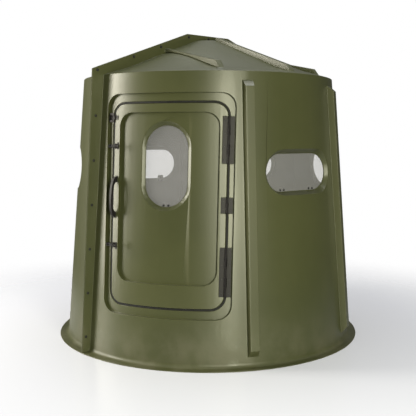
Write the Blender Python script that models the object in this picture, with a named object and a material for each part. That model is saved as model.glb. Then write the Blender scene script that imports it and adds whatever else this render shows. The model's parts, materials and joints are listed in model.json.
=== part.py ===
"""A round moulded hunting blind: two half shells bolted along an upright flange, a hinged
door, six hinged windows, and the door's hinges, handle, draw latches and hasp.

Metres, +Z up. The origin is the middle of the base, on the ground. The door faces -Y, and
an azimuth turns from -Y towards +X."""
from math import atan2, cos, degrees, hypot, pi, radians, sin, sqrt

import bmesh
import bpy
from mathutils import Matrix, Vector

# Walls and roof
BASE_RADIUS = 0.959  # outside of the wall at the ground
RIM_RADIUS = 0.829  # outside of the wall at the rim
RIM_HEIGHT = 1.688
RING_STAND = 0.056  # how far the base ring stands out from the wall
WALL = 0.005
RING_FILLET = 0.025
EAVE_WIDTH = 0.157  # flat outer part of the roof
EAVE_RISE = 0.044  # all rises are heights above the rim
CROWN_RADIUS = 0.108
CROWN_RISE = 0.262
PEAK_RISE = 0.265
GAP = 0.0003  # between pieces that touch
FACET = 6.0  # degrees of wall for each flat facet
ROUND_STEPS = 8  # flats in a quarter of a window's round end
CORNER_STEPS = 6  # flats in a rounded corner
RING_RADIUS = BASE_RADIUS + RING_STAND
EAVE_RADIUS = RIM_RADIUS - EAVE_WIDTH

# The two halves
PARTING_AZIMUTH = -32.6  # left end of the front half
HALF_TURN = 180.0
FLANGE_THICKNESS = 0.005  # of each half's plate
FLANGE_STAND = 0.078  # how far the flange stands out from the rim
FLANGE_CORNER_RISE = 0.034
RIDGE_HALF_LENGTH = 0.180  # level top of the roof ridge
RIDGE_RISE = 0.302
BOLT_INSET = 0.021  # from the flange's edge
BOLT_RADIUS = 0.004
BOLT_HEAD = (0.008, 0.006)  # radius and height
BOLT_NUT = (0.0076, 0.007)
BOLT_POINT = 0.010  # end of the shank, from the flange's face
CORNER_BOLT = RIM_RADIUS + FLANGE_STAND - 0.034
ROOF_BOLTS = (-CORNER_BOLT, -0.400, -0.170, 0.0, 0.170, 0.400, CORNER_BOLT)

# Moulded ribs
RIB_HEIGHT = 0.040
RIB_WIDTH = 0.055  # at its outer face
RIB_DRAFT = 0.005  # more on each side at its foot
RIB_BOTTOM = 0.064
RIB_TOP = RIM_HEIGHT - 0.054
RIB_RAMP = 0.038
RIB_SPREAD = 24.8  # azimuth from the half's middle
ROOF_RIB_WIDTH = 0.040
ROOF_RIB_RAMP = 0.036
SIDE_RIB_START = 0.345  # along the ridge
SIDE_RIB_END = (0.415, 0.575)  # along the ridge, out from it
SIDE_RIB_RISES = (0.195, 0.069)
MIDDLE_RIB_REACH = (CROWN_RADIUS - 0.008, RIM_RADIUS - 0.089)
MIDDLE_RIB_RISES = (0.284, 0.058)

# Windows: azimuth of each, its outline in the wall, and its pane
FRONT_WINDOWS = (57.4, 114.8)
REAR_WINDOWS = (178.4, 233.0, 290.0)
WINDOW_HALF_WIDTH = 0.2765
WINDOW_HALF_HEIGHT = 0.1345
WINDOW_HEIGHT = 1.105  # middle of the window
WINDOW_DEPTH = 0.060  # flat floor below the wall's outside, at the middle
POCKET_DRAFT = 0.020
POCKET_LIP = 0.003
PANE_THICKNESS = 0.004
PANE_OVERLAP = 0.005
PANE_HINGE_SPREAD = 0.125

# Small hinges, of the panes and the hasp
SMALL_KNUCKLE = 0.0035
SMALL_PIN = 0.0015
SMALL_BORE = 0.0019
SMALL_CLEARANCE = 0.0008  # between a leaf and the other leaf's knuckles
PANE_LEAF_THICKNESS = 0.0025
PANE_HINGE_LENGTH = 0.045
PANE_LEAF_HEIGHT = 0.032
PANE_FOOT_HEIGHT = 0.017
TAB_SHARE = 0.9  # a knuckle's tab is this much thinner than its leaf

# Doorway and door
DOOR_HALF_WIDTH = 0.355  # to the middle of the seam
DOOR_BOTTOM = 0.332
DOOR_TOP = 1.512
DOOR_CORNER = 0.080
SEAM = 0.013
FRAME_MARGIN = 0.040  # from the seam to the step in the wall, at the sides
FRAME_END_MARGIN = 0.053  # the same, above and below
FRAME_DEPTH = 0.020
STOP_DEPTH = 0.014  # from the frame's face to the stop behind the door
STOP_WIDTH = 0.021
SEAL_WIDTH = 0.011
SEAL_SINK = 0.0025
PANEL_HALF_WIDTH = DOOR_HALF_WIDTH - 0.048
PANEL_BOTTOM = DOOR_BOTTOM + 0.137
PANEL_TOP = DOOR_TOP - 0.057
PANEL_DEPTH = 0.020  # below the door's rim
DOOR_RETURN = 0.0115
DOOR_PANE_AZIMUTH = -0.35
DOOR_PANE_HALF_WIDTH = 0.153
DOOR_PANE_HALF_HEIGHT = 0.259
DOOR_PANE_HEIGHT = 1.145
DOOR_PANE_DEPTH = 0.025
LAYER_MARGIN = 0.15  # how far the wall layers reach past the doorway
MIDDLE_OF_DOOR = (DOOR_BOTTOM + DOOR_TOP) / 2

# Door hinges: name, lowest and highest point above the door's bottom, knuckles
DOOR_HINGES = (("top", 0.830, 1.099, 5), ("middle", 0.549, 0.639, 3), ("bottom", 0.074, 0.355, 5))
LEAF_WIDTH = 0.034
LEAF_THICKNESS = 0.003
KNUCKLE_RADIUS = 0.0065
KNUCKLE_GAP = 0.0006
HINGE_STAND = 0.006  # axis above the frame's face
PIN_RADIUS = 0.0031
BORE_RADIUS = 0.0035
PIN_END = 0.0015  # of the pin past its knuckles
PIN_HEAD = 0.002
SEAT_DEPTH = 0.0015
BURIED = 0.001  # how deep a joined shape starts inside its neighbour

# Handle, draw latches and hasp; heights are above the door's bottom
FITTING_LINE = 0.024 - DOOR_HALF_WIDTH  # x of the handle and of the latch bases
HANDLE_MIDDLE = 0.628
HANDLE_HALF_LENGTH = 0.1245
HANDLE_FOOT = 0.036
HANDLE_FOOT_THICKNESS = 0.004
HANDLE_SHOULDER = 0.006  # of each foot, outside the bow
HANDLE_STAND = 0.045
HANDLE_WIDTH = 0.018
HANDLE_GRIP = 0.014
HANDLE_BOW = 0.7  # under 1 makes the bow squarer than a half circle
BOW_STEPS = 10
LATCH_HEIGHTS = (("upper", 0.928), ("lower", 0.343))
LATCH_AXIS = -0.012  # Y of a latch's pivot
LATCH_PIN = 0.002
LATCH_BORE = 0.0024
LATCH_PLATE = 0.014  # half its side
PLATE_STAND = 0.0015
EAR = (0.0095, 0.0130)  # inner and outer face
EAR_HALF_WIDTH = 0.005
EAR_TOP = 0.0045  # above the pivot
LEVER_HUB = (0.0048, 0.004)  # radius and half length
LEVER_ARM = ((0.0, -0.0020, 0.0020), (0.036, -0.0140, -0.0095))  # x, outer and inner Y at each end
LEVER_ARM_HALF = 0.0038
LEVER_GRIP = (0.037, -0.012)
GRIP_RADIUS = 0.005
GRIP_HALF_LENGTH = 0.020
STRAP_REACH = (-0.060, -0.0062)
STRAP_HALF_WIDTH = 0.0088
STRAP_HALF_THICKNESS = 0.0015
STRAP_EYE = (0.0045, 0.0046)  # radius, and where each eye starts beside the lever
STRAP_LINK = (-0.010, -0.001)
STRAP_SLOT = (-0.0530, -0.0360)
SLOT_HALF_HEIGHT = 0.0042
KEEPER_REACH = (-0.062, -0.040)
KEEPER_HALF = 0.012
KEEPER_SPOT = -0.048
KEEPER_TIP = -0.018
KEEPER_PEG = 0.003
HASP_HEIGHT = 1.0965
HASP_AXIS = (-0.016, -0.0045)  # X and Y of the hasp's knuckle
HASP_LEAF_END = 0.010
HASP_LEAF_HALF = 0.0125
HASP_EYE = 0.0045  # where each eye starts beside the plate's knuckle
HASP_KNUCKLE_HALF = 0.0040
HASP_PLATE = (-0.0445, -0.0050)
HASP_PLATE_FACES = (-0.0040, -0.0010)
HASP_PLATE_HALF = 0.0275
HASP_SLOT = (-0.0395, -0.0270)
HASP_SLOT_HALF = 0.0155
STAPLE_REACH = (-0.062, -0.044)
STAPLE_HALF = 0.016
STAPLE_STAND = 0.001
STAPLE_FOOT = -0.0535
STAPLE_HEIGHT = 0.020
STAPLE_WIRE = 0.002
STAPLE_SPREAD = 0.010

COLOURS = {
    "shell": (0.115, 0.125, 0.058, 0.42, 0.0, 1.0),
    "door": (0.118, 0.128, 0.060, 0.42, 0.0, 1.0),
    "seal": (0.006, 0.006, 0.007, 0.75, 0.0, 1.0),
    "hardware": (0.030, 0.027, 0.029, 0.45, 0.0, 1.0),
    "pane": (0.200, 0.200, 0.205, 0.08, 0.0, 0.45),
    "bolt": (0.020, 0.020, 0.020, 0.40, 1.0, 1.0),
}


# Geometry of the walls ------------------------------------------------------
def wall_radius(height, offset=0.0):
    slope = (RIM_RADIUS - BASE_RADIUS) / RIM_HEIGHT
    return BASE_RADIUS + slope * height + offset


LEAN = atan2(BASE_RADIUS - RIM_RADIUS, RIM_HEIGHT)
ROOF_POINTS = (
    (0.0, RIM_HEIGHT + PEAK_RISE),
    (CROWN_RADIUS, RIM_HEIGHT + CROWN_RISE),
    (EAVE_RADIUS, RIM_HEIGHT + EAVE_RISE),
    (RIM_RADIUS, RIM_HEIGHT),
)


def roof_height(radius):
    for (near, high), (far, low) in zip(ROOF_POINTS, ROOF_POINTS[1:]):
        if radius <= far:
            return high + (low - high) * (radius - near) / (far - near)
    return RIM_HEIGHT


def polar(radius, azimuth, height=0.0):
    turn = radians(azimuth)
    return Vector((radius * sin(turn), -radius * cos(turn), height))


def wall_frame(azimuth, radius, height):
    """X runs along the wall, Y inwards and Z up the leaning wall."""
    turn = Matrix.Rotation(radians(azimuth), 4, "Z")
    return Matrix.Translation(polar(radius, azimuth, height)) @ turn @ Matrix.Rotation(-LEAN, 4, "X")


def half_frame(centre):
    """X runs along the parting plane and -Y out of the half's middle."""
    return Matrix.Rotation(radians(centre), 4, "Z")


def depth_of_surface(frame, x, z, offset):
    """The frame's Y at which a line through (x, z) meets the wall's surface, moved by offset."""
    low, high = -0.3, 0.3
    for _ in range(40):
        middle = (low + high) / 2
        point = frame @ Vector((x, middle, z))
        outside = hypot(point.x, point.y) > wall_radius(point.z, offset)
        low, high = (middle, high) if outside else (low, middle)
    return (low + high) / 2


# Building blocks ------------------------------------------------------------
def rounded_outline(half_width, low, high, radius, steps=CORNER_STEPS):
    corners = (
        (half_width - radius, low + radius, -90),
        (half_width - radius, high - radius, 0),
        (radius - half_width, high - radius, 90),
        (radius - half_width, low + radius, 180),
    )
    points = []
    for x, z, start in corners:
        for step in range(steps + 1):
            turn = radians(start + 90 * step / steps)
            points.append((x + radius * cos(turn), z + radius * sin(turn)))
    return [p for i, p in enumerate(points) if (Vector(p) - Vector(points[i - 1])).length > 1e-6]


def closed_mesh(bm):
    bmesh.ops.remove_doubles(bm, verts=bm.verts, dist=1e-6)
    bmesh.ops.recalc_face_normals(bm, faces=bm.faces)
    return bm


def loft(loops):
    """A solid through loops of equally many points, capped at both ends."""
    bm = bmesh.new()
    rows = [[bm.verts.new(point) for point in loop] for loop in loops]
    for low, high in zip(rows, rows[1:]):
        for i in range(len(low)):
            bm.faces.new((low[i - 1], low[i], high[i], high[i - 1]))
    bm.faces.new(rows[0])
    bm.faces.new(rows[-1])
    return closed_mesh(bm)


def prism(outline, near, far):
    """An outline in X and Z, extruded along Y."""
    return loft([[(x, y, z) for x, z in outline] for y in (near, far)])


def side_prism(outline, near, far):
    """An outline in Y and Z, extruded along X."""
    return loft([[(x, y, z) for y, z in outline] for x in (near, far)])


def block(low, high):
    bm = bmesh.new()
    bmesh.ops.create_cube(bm, size=1.0)
    size = Vector(high) - Vector(low)
    middle = (Vector(high) + Vector(low)) / 2
    bmesh.ops.scale(bm, vec=size, verts=bm.verts)
    bmesh.ops.translate(bm, vec=middle, verts=bm.verts)
    return bm


def rod(start, end, radius, sides=10):
    start, end = Vector(start), Vector(end)
    bm = bmesh.new()
    bmesh.ops.create_cone(
        bm, cap_ends=True, segments=sides, radius1=radius, radius2=radius, depth=(end - start).length
    )
    turn = Vector((0, 0, 1)).rotation_difference(end - start).to_matrix().to_4x4()
    bmesh.ops.transform(bm, matrix=Matrix.Translation((start + end) / 2) @ turn, verts=bm.verts)
    return bm


def turned(profile, centre, half_angle):
    """A profile of (radius, height) points, turned round Z in flat facets."""
    steps = round(2 * half_angle / FACET)
    azimuths = [centre - half_angle + 2 * half_angle * step / steps for step in range(steps + 1)]
    return loft([[polar(radius, azimuth, height) for radius, height in profile] for azimuth in azimuths])


def wall_layer(outer, inner, low, high, centre):
    """The wall's own cone between two offsets, over the front or rear half."""
    profile = (
        (wall_radius(low, outer), low),
        (wall_radius(high, outer), high),
        (wall_radius(high, inner), high),
        (wall_radius(low, inner), low),
    )
    return turned(profile, centre, 90 + FACET)


# Objects --------------------------------------------------------------------
def material_of(slot):
    found = bpy.data.materials.get(slot)
    if found:
        return found
    made = bpy.data.materials.new(slot)
    made.use_nodes = True
    red, green, blue, roughness, metallic, alpha = COLOURS[slot]
    shader = made.node_tree.nodes["Principled BSDF"]
    shader.inputs["Base Color"].default_value = (red, green, blue, 1.0)
    shader.inputs["Roughness"].default_value = roughness
    shader.inputs["Metallic"].default_value = metallic
    shader.inputs["Alpha"].default_value = alpha
    made.diffuse_color = (red, green, blue, alpha)
    return made


def add_object(name, bm, frame=None, parent=None):
    mesh = bpy.data.meshes.new(name)
    bm.to_mesh(mesh)
    bm.free()
    made = bpy.data.objects.new(name, mesh)
    bpy.context.scene.collection.objects.link(made)
    place(made, frame, parent)
    return made


def place(made, frame, parent):
    world = frame or Matrix.Identity(4)
    if parent:
        made.parent = parent
        world = parent.matrix_basis.inverted() @ world
    made.matrix_basis = world


def add_piece(name, bm, slot, frame=None, parent=None):
    made = add_object(name, bm, frame, parent)
    made.data.materials.append(material_of(slot))
    return made


def add_tool(name, bm, frame=None):
    made = add_object(name, bm, frame)
    made.hide_render = True
    made.display_type = "WIRE"
    return made


def combine(piece, tool, operation):
    modifier = piece.modifiers.new(tool.name, "BOOLEAN")
    modifier.operation = operation
    modifier.solver = "EXACT"
    modifier.object = tool


def join(piece, tool):
    combine(piece, tool, "UNION")


def cut(piece, tool):
    combine(piece, tool, "DIFFERENCE")


def keep_within(piece, tool):
    combine(piece, tool, "INTERSECT")


def add_axis(name, frame):
    made = bpy.data.objects.new(name, None)
    bpy.context.scene.collection.objects.link(made)
    made.empty_display_size = 0.1
    made.matrix_basis = frame
    return made


# Half shells ----------------------------------------------------------------
def shell_profile():
    fillet_radius = wall_radius(WALL + RING_FILLET) + RING_FILLET
    fillet = []
    for step in range(4):
        turn = radians(-90 - 30 * step)
        fillet.append(
            (fillet_radius + RING_FILLET * cos(turn), WALL + RING_FILLET + RING_FILLET * sin(turn))
        )
    outside = [(RING_RADIUS, 0.0), (RING_RADIUS, WALL), *fillet, *reversed(ROOF_POINTS)]
    inside = [(radius, height - WALL) for radius, height in ROOF_POINTS[:-1]]
    inside.append((RIM_RADIUS - WALL, RIM_HEIGHT - WALL))
    return outside + inside + [(BASE_RADIUS - WALL, 0.0)]


def flange_outline():
    """Right half of the flange's plate, from the ground to the ridge and back inside the wall."""
    corner = (RIM_RADIUS + FLANGE_STAND, RIM_HEIGHT + FLANGE_CORNER_RISE)
    foot = (RING_RADIUS - 0.002, WALL / 2)
    ridge = (RIDGE_HALF_LENGTH, RIM_HEIGHT + RIDGE_RISE)
    inside = [(radius, height - WALL / 2) for radius, height in ROOF_POINTS[:-1]]
    inside.append((RIM_RADIUS - WALL / 2, RIM_HEIGHT - WALL / 2))
    inside.append((BASE_RADIUS - WALL / 2, WALL / 2))
    return [foot, corner, ridge], inside


def flange_plate():
    right, inside = flange_outline()
    left = [(-x, z) for x, z in reversed(right)]
    inside_left = [(-x, z) for x, z in reversed(inside)]
    outline = right + left + inside_left + inside[1:]
    return prism(outline, -FLANGE_THICKNESS, FLANGE_THICKNESS)


def flange_edge_height(x):
    """Height of the ridge's top edge at a place along it."""
    right, _ = flange_outline()
    (_, _), (corner, corner_height), (flat, top) = right
    if abs(x) <= flat:
        return top
    return top + (corner_height - top) * (abs(x) - flat) / (corner - flat)


def wall_rib(inset, foot_depth):
    """Drafted bar with ramped ends, in the frame of the wall at mid height."""
    middle = (RIB_BOTTOM + RIB_TOP) / 2
    reach = (RIB_TOP - RIB_BOTTOM) / 2 / cos(LEAN) - inset
    wide = RIB_WIDTH / 2 + RIB_DRAFT - inset
    narrow = RIB_WIDTH / 2 - inset
    foot = [(-wide, -reach), (wide, -reach), (wide, reach), (-wide, reach)]
    top_reach = reach - RIB_RAMP
    top = [(-narrow, -top_reach), (narrow, -top_reach), (narrow, top_reach), (-narrow, top_reach)]
    height = RIB_HEIGHT - inset
    loops = [[(x, foot_depth, z) for x, z in foot]]
    loops.append([(x, -0.001, z) for x, z in foot])
    loops.append([(x, -height, z) for x, z in top])
    return loft(loops), middle


def roof_rib(start, end, rises, inset, sink):
    """Upright bar over the roof from start to end, which are (along, out) places."""
    start, end = Vector(start), Vector(end)
    run = end - start
    length = run.length
    run.normalize()
    across = Vector((run.y, -run.x)) * (ROOF_RIB_WIDTH / 2 - inset)
    stations = [length * step / 6 for step in range(7)]
    tops = [RIM_HEIGHT + rises[0] + (rises[1] - rises[0]) * s / length - inset for s in stations]
    foot_reach = length + ROOF_RIB_RAMP - inset
    stations.append(foot_reach)
    tops.append(roof_height((start + run * foot_reach).length) - inset / 2)
    loops = []
    for station, top in zip(stations, tops):
        spot = start + run * station
        low = roof_height(spot.length) - sink
        top = max(top, low + 0.001)
        loops.append(
            [
                (spot.x + side * across.x, -(spot.y + side * across.y), height)
                for side, height in ((-1, low), (1, low), (1, top), (-1, top))
            ]
        )
    return loft(loops)


def roof_rib_runs():
    yield (0.0, MIDDLE_RIB_REACH[0]), (0.0, MIDDLE_RIB_REACH[1]), MIDDLE_RIB_RISES
    for side in (-1, 1):
        start = (side * SIDE_RIB_START, 0.0)
        end = (side * SIDE_RIB_END[0], SIDE_RIB_END[1])
        yield start, end, SIDE_RIB_RISES


class Pocket:
    """A window's recess: a flat floor square to the window's frame, drafted walls, an opening."""

    def __init__(self, name, azimuth, height, size, offset, centre):
        self.name = name
        self.height = height
        self.centre = centre
        self.half_width, self.half_height, depth = size
        self.offset = offset
        self.floor = wall_frame(azimuth, wall_radius(height, offset) - depth, height)

    def outline(self, inset):
        wide, high = self.half_width - inset, self.half_height - inset
        return rounded_outline(wide, -high, high, min(wide, high) - 1e-5, ROUND_STEPS)

    def opening(self):
        return self.outline(POCKET_DRAFT + POCKET_LIP)

    def surface_loop(self, inset, lift=0.0):
        return [
            (x, depth_of_surface(self.floor, x, z, self.offset) - lift, z)
            for x, z in self.outline(inset)
        ]

    def add_to(self, shell):
        boss = add_tool(self.name + "_boss", prism(self.outline(-WALL), -0.1, WALL), self.floor)
        low, high = self.height - 0.4, self.height + 0.4
        inner = self.offset - WALL / 2
        solid = wall_layer(inner, inner - 0.3, low, high, self.centre)
        keep_within(boss, add_tool(self.name + "_layer", solid))
        join(shell, boss)

    def cut_from(self, shell):
        floor = [(x, 0.0, z) for x, z in self.outline(POCKET_DRAFT)]
        rim = self.surface_loop(0.0)
        clear = self.surface_loop(0.0, 0.05)
        cut(shell, add_tool(self.name + "_recess", loft([floor, rim, clear]), self.floor))
        hole = prism(self.opening(), -0.01, WALL + 0.01)
        cut(shell, add_tool(self.name + "_opening", hole, self.floor))


def outline_prism(half_width, low, high, corner):
    return prism(rounded_outline(half_width, low, high, corner), -BASE_RADIUS - 0.2, -0.5)


def doorway_prism(grow):
    """The doorway's outline, grown from the middle of the seam, through the whole wall."""
    half_width = DOOR_HALF_WIDTH + grow
    return outline_prism(half_width, DOOR_BOTTOM - grow, DOOR_TOP + grow, DOOR_CORNER + grow)


def frame_prism(grow):
    margin = FRAME_MARGIN + grow
    end_margin = FRAME_END_MARGIN + grow
    half_width = DOOR_HALF_WIDTH + margin
    corner = DOOR_CORNER + grow
    return outline_prism(half_width, DOOR_BOTTOM - end_margin, DOOR_TOP + end_margin, corner)


def panel_prism(grow):
    return outline_prism(
        PANEL_HALF_WIDTH + grow, PANEL_BOTTOM - grow, PANEL_TOP + grow, DOOR_CORNER + grow
    )


def layer(outer, inner):
    low, high = DOOR_BOTTOM - LAYER_MARGIN, DOOR_TOP + LAYER_MARGIN
    return wall_layer(outer, inner, low, high, PARTING_AZIMUTH + HALF_TURN / 2)


def sliced(name, outline, outer, inner):
    """The part of a wall layer inside an outline, as a tool."""
    tool = add_tool(name, outline)
    keep_within(tool, add_tool(name + "_layer", layer(outer, inner)))
    return tool


def add_half(name, centre, pockets):
    shell = add_piece(name, turned(shell_profile(), centre, 90 + FACET), "shell")
    frame = half_frame(centre)
    ribs = []
    for side, label in ((-1, "left"), (1, "right")):
        solid, middle = wall_rib(0.0, WALL / 2)
        spot = wall_frame(centre + side * RIB_SPREAD, wall_radius(middle), middle)
        join(shell, add_tool(f"{name}_{label}_rib", solid, spot))
        hollow, _ = wall_rib(WALL, 4 * WALL)
        ribs.append(add_tool(f"{name}_{label}_rib_hollow", hollow, spot))
    for index, (start, end, rises) in enumerate(roof_rib_runs()):
        solid = roof_rib(start, end, rises, 0.0, WALL / 2)
        join(shell, add_tool(f"{name}_roof_rib_{index}", solid, frame))
    join(shell, add_tool(name + "_flange", flange_plate(), frame))
    for pocket in pockets:
        pocket.add_to(shell)
    for hollow in ribs:
        cut(shell, hollow)
    for pocket in pockets:
        pocket.cut_from(shell)
    return shell


def finish_half(shell, centre):
    """Trims a half at the parting plane and drills its flange."""
    frame = half_frame(centre)
    far = 2 * (RING_RADIUS + RIM_HEIGHT)
    beyond = block((-far, -GAP / 2, -far), (far, far, far))
    cut(shell, add_tool(shell.name + "_parting", beyond, frame))
    for index, x in enumerate(ROOF_BOLTS):
        z = bolt_height(x)
        hole = rod((x, -6 * WALL, z), (x, 2 * WALL, z), BOLT_RADIUS + GAP)
        cut(shell, add_tool(f"{shell.name}_bolt_hole_{index}", hole, frame))


def bolt_height(x):
    return flange_edge_height(x) - BOLT_INSET


def add_frame_to(shell):
    """Steps the wall in round the doorway, with a stop behind the door."""
    stop_back = -FRAME_DEPTH - STOP_DEPTH - WALL
    join(shell, sliced("doorway_tray", frame_prism(WALL), -WALL / 2, -FRAME_DEPTH - WALL))
    join(shell, sliced("doorway_stop", doorway_prism(SEAM / 2 + WALL), -FRAME_DEPTH - 0.002, stop_back))


def cut_doorway_from(shell):
    cut(shell, sliced("doorway_step", frame_prism(0.0), 0.05, -FRAME_DEPTH))
    rebate = sliced("doorway_rebate", doorway_prism(SEAM / 2), 0.05, -FRAME_DEPTH - STOP_DEPTH)
    cut(shell, rebate)
    cut(shell, add_tool("doorway_opening", doorway_prism(SEAM / 2 - STOP_WIDTH)))


# Door -----------------------------------------------------------------------
def add_seal():
    outer = doorway_prism(SEAM / 2 - GAP)
    seal = add_piece("door_seal", outer, "seal")
    face, back = -FRAME_DEPTH - SEAL_SINK, -FRAME_DEPTH - STOP_DEPTH + GAP
    keep_within(seal, add_tool("seal_layer", layer(face, back)))
    cut(seal, add_tool("seal_inside", doorway_prism(SEAM / 2 - SEAL_WIDTH)))


def add_door(axis, pocket):
    rim = -SEAM / 2
    door = add_piece("door_panel", doorway_prism(rim), "door", None, axis)
    keep_within(door, add_tool("door_layer", layer(-FRAME_DEPTH, -FRAME_DEPTH - WALL)))
    returned = sliced("door_return", doorway_prism(rim), -FRAME_DEPTH - WALL / 2, -FRAME_DEPTH - DOOR_RETURN)
    cut(returned, add_tool("door_return_inside", doorway_prism(rim - WALL)))
    join(door, returned)
    back = -FRAME_DEPTH - PANEL_DEPTH - WALL
    join(door, sliced("door_tray", panel_prism(WALL), -FRAME_DEPTH - WALL / 2, back))
    pocket.add_to(door)
    cut(door, sliced("door_recess", panel_prism(0.0), 0.05, -FRAME_DEPTH - PANEL_DEPTH))
    pocket.cut_from(door)
    return door


def hinge_axis_point(height):
    radius = wall_radius(height, -FRAME_DEPTH)
    return Vector((DOOR_HALF_WIDTH, -sqrt(radius**2 - DOOR_HALF_WIDTH**2) - HINGE_STAND, height))


def hinge_frame(height):
    """Z along the hinge line, Y inwards at this height, origin on the axis."""
    low = hinge_axis_point(DOOR_BOTTOM + DOOR_HINGES[-1][1])
    high = hinge_axis_point(DOOR_BOTTOM + DOOR_HINGES[0][2])
    up = (high - low).normalized()
    spot = low + (high - low) * (height - low.z) / (high.z - low.z)
    inward = -Vector((spot.x, spot.y, 0)).normalized()
    along = inward.cross(up).normalized()
    inward = up.cross(along)
    frame = Matrix((along, inward, up)).transposed().to_4x4()
    return Matrix.Translation(spot) @ frame


def add_leaf(name, side, frame, length, knuckles, parent):
    """A door hinge's leaf on one side of the knuckles, with every other knuckle."""
    back = HINGE_STAND + SEAT_DEPTH
    front = back - LEAF_THICKNESS
    edges = sorted((side * (KNUCKLE_RADIUS + BURIED), side * LEAF_WIDTH))
    plate = block((edges[0], front, -length / 2), (edges[1], back, length / 2))
    leaf = add_piece(name, plate, "hardware", frame, parent)
    pitch = length / knuckles
    for index in range(0 if side > 0 else 1, knuckles, 2):
        low = -length / 2 + index * pitch + KNUCKLE_GAP / 2
        high = low + pitch - KNUCKLE_GAP
        tab_edges = sorted((side * BURIED, side * (KNUCKLE_RADIUS + 4 * BURIED)))
        tab = block((tab_edges[0], front - BURIED, low), (tab_edges[1], back - BURIED, high))
        join(leaf, add_tool(f"{name}_tab_{index}", tab, frame))
        tube = rod((0, 0, low), (0, 0, high), KNUCKLE_RADIUS)
        join(leaf, add_tool(f"{name}_knuckle_{index}", tube, frame))
    bore = rod((0, 0, -length), (0, 0, length), BORE_RADIUS)
    cut(leaf, add_tool(name + "_bore", bore, frame))


def leaf_seat(name, side, frame, length):
    edges = sorted((-side * BURIED, side * (LEAF_WIDTH + GAP)))
    half = length / 2 + GAP
    seat = block((edges[0], -0.03, -half), (edges[1], HINGE_STAND + SEAT_DEPTH + GAP, half))
    return add_tool(name, seat, frame)


def add_pin(name, frame, length):
    reach = length / 2 + PIN_END
    pin = add_piece(name, rod((0, 0, -reach), (0, 0, reach), PIN_RADIUS), "hardware", frame)
    for side in (-1, 1):
        near, far = side * (length / 2 + PIN_END / 2), side * (reach + PIN_HEAD)
        head = rod((0, 0, near), (0, 0, far), KNUCKLE_RADIUS)
        join(pin, add_tool(f"{name}_head_{side + 1}", head, frame))


def add_door_hinges(shell, door, axis):
    for label, low, high, knuckles in DOOR_HINGES:
        frame = hinge_frame(DOOR_BOTTOM + (low + high) / 2)
        length = high - low
        name = f"door_hinge_{label}"
        cut(shell, leaf_seat(name + "_shell_seat", 1, frame, length))
        cut(door, leaf_seat(name + "_door_seat", -1, frame, length))
        add_leaf(name + "_shell_leaf", 1, frame, length, knuckles, None)
        add_leaf(name + "_door_leaf", -1, frame, length, knuckles, axis)
        add_pin(name + "_pin", frame, length)


# Panes ----------------------------------------------------------------------
def pane_axis(pocket):
    """The frame of a pane's hinge line, on the cabin's side of the pocket's floor."""
    bottom = pocket.half_height - POCKET_DRAFT - POCKET_LIP + PANE_OVERLAP
    y = WALL + GAP + PANE_THICKNESS + GAP + PANE_LEAF_THICKNESS / 2
    z = -(bottom + SMALL_KNUCKLE + SMALL_CLEARANCE)
    return pocket.floor @ Matrix.Translation((0, y, z))


def add_pane(pocket, parent, hinge_places):
    frame = pane_axis(pocket)
    local = frame.inverted() @ pocket.floor
    outline = pocket.outline(POCKET_DRAFT + POCKET_LIP - PANE_OVERLAP)
    pane = prism(outline, WALL + GAP, WALL + GAP + PANE_THICKNESS)
    bmesh.ops.transform(pane, matrix=local, verts=pane.verts)
    add_piece(pocket.name + "_pane", pane, "pane", frame, parent)
    for place_label, x in hinge_places:
        name = f"{pocket.name}_hinge{place_label}"
        add_pane_hinge(name, frame @ Matrix.Translation((x, 0, 0)), parent)


def add_pane_hinge(name, frame, parent):
    """A leaf on the pane with the middle knuckle, and a foot on the wall with the outer two."""
    half = PANE_HINGE_LENGTH / 2
    knuckle = PANE_HINGE_LENGTH / 6 - KNUCKLE_GAP / 2
    thick = PANE_LEAF_THICKNESS / 2
    tab_thick = thick * TAB_SHARE
    clear = SMALL_KNUCKLE + SMALL_CLEARANCE
    plate = block((-half, -thick, clear), (half, thick, PANE_LEAF_HEIGHT))
    leaf = add_piece(name + "_pane_leaf", plate, "hardware", frame, parent)
    tab = block((-knuckle, -tab_thick, 0), (knuckle, tab_thick, clear + 2 * BURIED))
    join(leaf, add_tool(name + "_tab", tab, frame))
    join(leaf, add_tool(name + "_tube", rod((-knuckle, 0, 0), (knuckle, 0, 0), SMALL_KNUCKLE), frame))
    cut(leaf, add_tool(name + "_bore", rod((-half, 0, 0), (half, 0, 0), SMALL_BORE), frame))
    wall_side = -thick - GAP - PANE_THICKNESS
    foot = block((-half, wall_side, -PANE_FOOT_HEIGHT), (half, thick, -clear))
    mount = add_piece(name + "_frame_leaf", foot, "hardware", frame, parent)
    for side in (-1, 1):
        low, high = sorted((side * (knuckle + KNUCKLE_GAP), side * half))
        arm = block((low, -tab_thick, -clear - 2 * BURIED), (high, tab_thick, 0))
        join(mount, add_tool(f"{name}_arm_{side + 1}", arm, frame))
        eye = rod((low, 0, 0), (high, 0, 0), SMALL_KNUCKLE)
        join(mount, add_tool(f"{name}_eye_{side + 1}", eye, frame))
    reach = half - BURIED
    join(mount, add_tool(name + "_pin", rod((-reach, 0, 0), (reach, 0, 0), SMALL_PIN), frame))


# Fittings on the door's left edge -------------------------------------------
def fitting_frame(height):
    """The frame's face at a height above the door's bottom, on the fittings' upright line."""
    height += DOOR_BOTTOM
    radius = wall_radius(height, -FRAME_DEPTH)
    azimuth = -degrees(atan2(-FITTING_LINE, sqrt(radius**2 - FITTING_LINE**2)))
    return wall_frame(azimuth, radius, height)


def seat_for(piece, name, low, high, frame):
    """Cuts a shallow flat seat for a plate, a gap larger all round."""
    low = Vector(low) - Vector((GAP, 0, GAP))
    high = Vector(high) + Vector((GAP, GAP, GAP))
    low.y = -0.03
    cut(piece, add_tool(name + "_seat", block(low, high), frame))


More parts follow.
